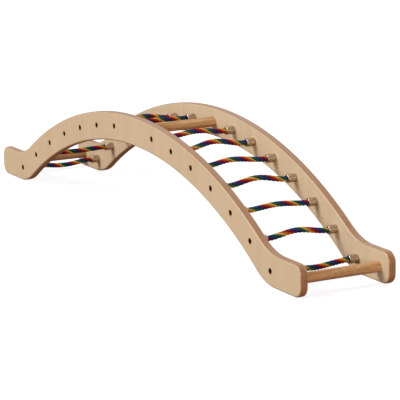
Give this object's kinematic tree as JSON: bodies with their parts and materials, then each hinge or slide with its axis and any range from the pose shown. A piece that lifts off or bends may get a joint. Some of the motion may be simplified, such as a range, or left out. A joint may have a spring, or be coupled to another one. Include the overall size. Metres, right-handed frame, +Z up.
{
  "type": "wooden rocker arch",
  "caption": "Long low wooden climbing arch with turned-out feet, round dowels and bowed rainbow rope rungs between two plywood side boards; turned over it rocks.",
  "frame": {"origin": "on the floor under the middle of the arch, midway between the two side boards", "axes": "+X along the arch, +Y across it from the near board to the far board, +Z up"},
  "size_m": [1.41, 0.223, 0.25],
  "materials": {
    "plywood": "clear-lacquered birch plywood, satin, with its plies showing at the edges",
    "dowel_wood": "turned beech dowel, clear satin lacquer",
    "rope": "laid rope of six strands in red, orange, yellow, green, teal and navy",
    "sleeve_metal": "satin turned aluminium",
    "bolt_metal": "black oxide, oiled",
    "washer_metal": "zinc-plated steel"
  },
  "bodies": {
    "frame": {"board_near": "plywood", "board_far": "plywood", "dowel_crown": "dowel_wood", "dowel_foot_left": "dowel_wood", "dowel_foot_right": "dowel_wood", "sleeve_near_01": "sleeve_metal", "sleeve_near_02": "sleeve_metal", "sleeve_near_03": "sleeve_metal", "sleeve_near_04": "sleeve_metal", "sleeve_near_05": "sleeve_metal", "sleeve_near_06": "sleeve_metal", "sleeve_near_07": "sleeve_metal", "sleeve_near_08": "sleeve_metal", "sleeve_near_09": "sleeve_metal", "sleeve_near_10": "sleeve_metal", "sleeve_near_11": "sleeve_metal", "sleeve_near_12": "sleeve_metal", "sleeve_near_13": "sleeve_metal", "sleeve_near_14": "sleeve_metal", "sleeve_far_01": "sleeve_metal", "sleeve_far_02": "sleeve_metal", "sleeve_far_03": "sleeve_metal", "sleeve_far_04": "sleeve_metal", "sleeve_far_05": "sleeve_metal", "sleeve_far_06": "sleeve_metal", "sleeve_far_07": "sleeve_metal", "sleeve_far_08": "sleeve_metal", "sleeve_far_09": "sleeve_metal", "sleeve_far_10": "sleeve_metal", "sleeve_far_11": "sleeve_metal", "sleeve_far_12": "sleeve_metal", "sleeve_far_13": "sleeve_metal", "sleeve_far_14": "sleeve_metal", "bolts_near": "bolt_metal", "bolts_far": "bolt_metal", "washers_near": "washer_metal", "washers_far": "washer_metal"},
    "rope_01_body": {"rope_01": "rope"},
    "rope_02_body": {"rope_02": "rope"},
    "rope_03_body": {"rope_03": "rope"},
    "rope_04_body": {"rope_04": "rope"},
    "rope_05_body": {"rope_05": "rope"},
    "rope_06_body": {"rope_06": "rope"},
    "rope_07_body": {"rope_07": "rope"},
    "rope_08_body": {"rope_08": "rope"},
    "rope_09_body": {"rope_09": "rope"},
    "rope_10_body": {"rope_10": "rope"},
    "rope_11_body": {"rope_11": "rope"},
    "rope_12_body": {"rope_12": "rope"},
    "rope_13_body": {"rope_13": "rope"},
    "rope_14_body": {"rope_14": "rope"}
  },
  "joints": [
    {"name": "rope_01_swing", "type": "hinge", "parent": "frame", "child": "rope_01_body", "pos_m": [-0.5888, 0, 0.032], "axis": [0, 1, 0], "range_deg": [-180, 180]},
    {"name": "rope_02_swing", "type": "hinge", "parent": "frame", "child": "rope_02_body", "pos_m": [-0.5097, 0, 0.0769], "axis": [0, 1, 0], "range_deg": [-180, 180]},
    {"name": "rope_03_swing", "type": "hinge", "parent": "frame", "child": "rope_03_body", "pos_m": [-0.4313, 0, 0.1196], "axis": [0, 1, 0], "range_deg": [-180, 180]},
    {"name": "rope_04_swing", "type": "hinge", "parent": "frame", "child": "rope_04_body", "pos_m": [-0.3493, 0, 0.155], "axis": [0, 1, 0], "range_deg": [-180, 180]},
    {"name": "rope_05_swing", "type": "hinge", "parent": "frame", "child": "rope_05_body", "pos_m": [-0.2646, 0, 0.1828], "axis": [0, 1, 0], "range_deg": [-180, 180]},
    {"name": "rope_06_swing", "type": "hinge", "parent": "frame", "child": "rope_06_body", "pos_m": [-0.1776, 0, 0.2029], "axis": [0, 1, 0], "range_deg": [-180, 180]},
    {"name": "rope_07_swing", "type": "hinge", "parent": "frame", "child": "rope_07_body", "pos_m": [-0.0892, 0, 0.215], "axis": [0, 1, 0], "range_deg": [-180, 180]},
    {"name": "rope_08_swing", "type": "hinge", "parent": "frame", "child": "rope_08_body", "pos_m": [0.0892, 0, 0.215], "axis": [0, 1, 0], "range_deg": [-180, 180]},
    {"name": "rope_09_swing", "type": "hinge", "parent": "frame", "child": "rope_09_body", "pos_m": [0.1776, 0, 0.2029], "axis": [0, 1, 0], "range_deg": [-180, 180]},
    {"name": "rope_10_swing", "type": "hinge", "parent": "frame", "child": "rope_10_body", "pos_m": [0.2646, 0, 0.1828], "axis": [0, 1, 0], "range_deg": [-180, 180]},
    {"name": "rope_11_swing", "type": "hinge", "parent": "frame", "child": "rope_11_body", "pos_m": [0.3493, 0, 0.155], "axis": [0, 1, 0], "range_deg": [-180, 180]},
    {"name": "rope_12_swing", "type": "hinge", "parent": "frame", "child": "rope_12_body", "pos_m": [0.4313, 0, 0.1196], "axis": [0, 1, 0], "range_deg": [-180, 180]},
    {"name": "rope_13_swing", "type": "hinge", "parent": "frame", "child": "rope_13_body", "pos_m": [0.5097, 0, 0.0769], "axis": [0, 1, 0], "range_deg": [-180, 180]},
    {"name": "rope_14_swing", "type": "hinge", "parent": "frame", "child": "rope_14_body", "pos_m": [0.5888, 0, 0.032], "axis": [0, 1, 0], "range_deg": [-180, 180]}
  ]
}
